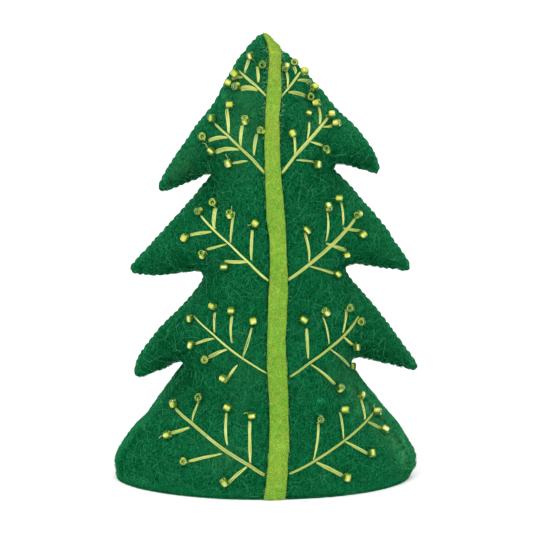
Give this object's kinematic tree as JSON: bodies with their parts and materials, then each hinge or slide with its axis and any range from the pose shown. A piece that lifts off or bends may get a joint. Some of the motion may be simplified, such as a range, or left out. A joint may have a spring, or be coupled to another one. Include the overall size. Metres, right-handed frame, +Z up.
{
  "type": "felt christmas tree ornament",
  "caption": "Stuffed felt tree that stands on an oval base, with branch-shaped tiers, a contrast trunk strip, stitched sprigs and glass seed beads.",
  "frame": {"origin": "middle of the bounding box footprint, on the surface the ornament stands on", "axes": "+Z up through the tip of the tree, the embroidered front faces -Y, +X is the viewer's right"},
  "size_m": [0.0944, 0.048, 0.14],
  "materials": {
    "felt": "matte dark green wool felt",
    "strip": "matte lime green wool felt",
    "stuffing": "soft white fibre fill",
    "seam_thread": "dark green sewing thread",
    "floss": "pale lime stranded cotton floss, slight sheen",
    "beads": "transparent lime glass with a silver lined hole"
  },
  "bodies": {
    "root": {"front_panel": "felt", "back_panel": "felt", "base_panel": "felt", "stuffing": "stuffing", "trunk_strip": "strip", "side_seam_thread_left": "seam_thread", "side_seam_thread_right": "seam_thread", "base_seam_thread": "seam_thread", "sprig_1_left": "floss", "sprig_1_right": "floss", "sprig_2_left": "floss", "sprig_2_right": "floss", "sprig_3_left": "floss", "sprig_3_right": "floss", "sprig_4_left": "floss", "sprig_4_right": "floss", "sprig_5_left": "floss", "sprig_5_right": "floss", "beads_1_left": "beads", "beads_1_right": "beads", "beads_2_left": "beads", "beads_2_right": "beads", "beads_3_left": "beads", "beads_3_right": "beads", "beads_4_left": "beads", "beads_4_right": "beads", "beads_5_left": "beads", "beads_5_right": "beads"}
  },
  "joints": []
}
